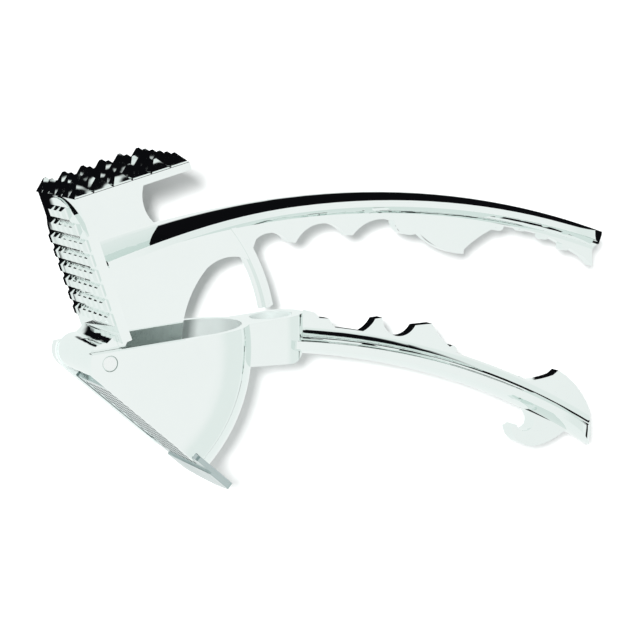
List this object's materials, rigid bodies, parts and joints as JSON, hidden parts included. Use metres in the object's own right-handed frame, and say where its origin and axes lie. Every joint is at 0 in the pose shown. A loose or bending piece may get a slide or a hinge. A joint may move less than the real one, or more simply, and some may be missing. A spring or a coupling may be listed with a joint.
{
  "type": "nutcracker",
  "caption": "Cast multi-tool nutcracker: two hinged T-section arms with grip scallops, press chamber with sliding sieve, pitter, spiked mallet head and bottle opener hook.",
  "frame": {"origin": "on the hinge axis, in the flat outer side of the press that the tool lies on", "axes": "+X from the hinge along the handles, +Y the tool's own upward direction, +Z along the hinge pin, up from the surface that the tool lies on"},
  "size_m": [0.1901, 0.1026, 0.035],
  "materials": {
    "chrome_plate": "bright chrome plate over a zinc die casting",
    "chrome_plate_upper": "bright chrome plate over a zinc die casting",
    "pin_steel": "turned steel, satin ends",
    "sieve_steel": "punched stainless sheet, fine satin"
  },
  "bodies": {
    "lower_body": {"lower_arm": "chrome_plate", "hinge_pin": "pin_steel"},
    "upper_body": {"upper_arm": "chrome_plate_upper"},
    "sieve": {"sieve_plate": "sieve_steel"}
  },
  "joints": [
    {"name": "main_hinge", "type": "hinge", "parent": "lower_body", "child": "upper_body", "pos_m": [0, 0, 0.0175], "axis": [0, 0, 1], "range_deg": [-12.8, 110]},
    {"name": "sieve_slide", "type": "slide", "parent": "lower_body", "child": "sieve", "axis": [0.7501, -0.6613, 0], "range_m": [0, 0.05]}
  ]
}
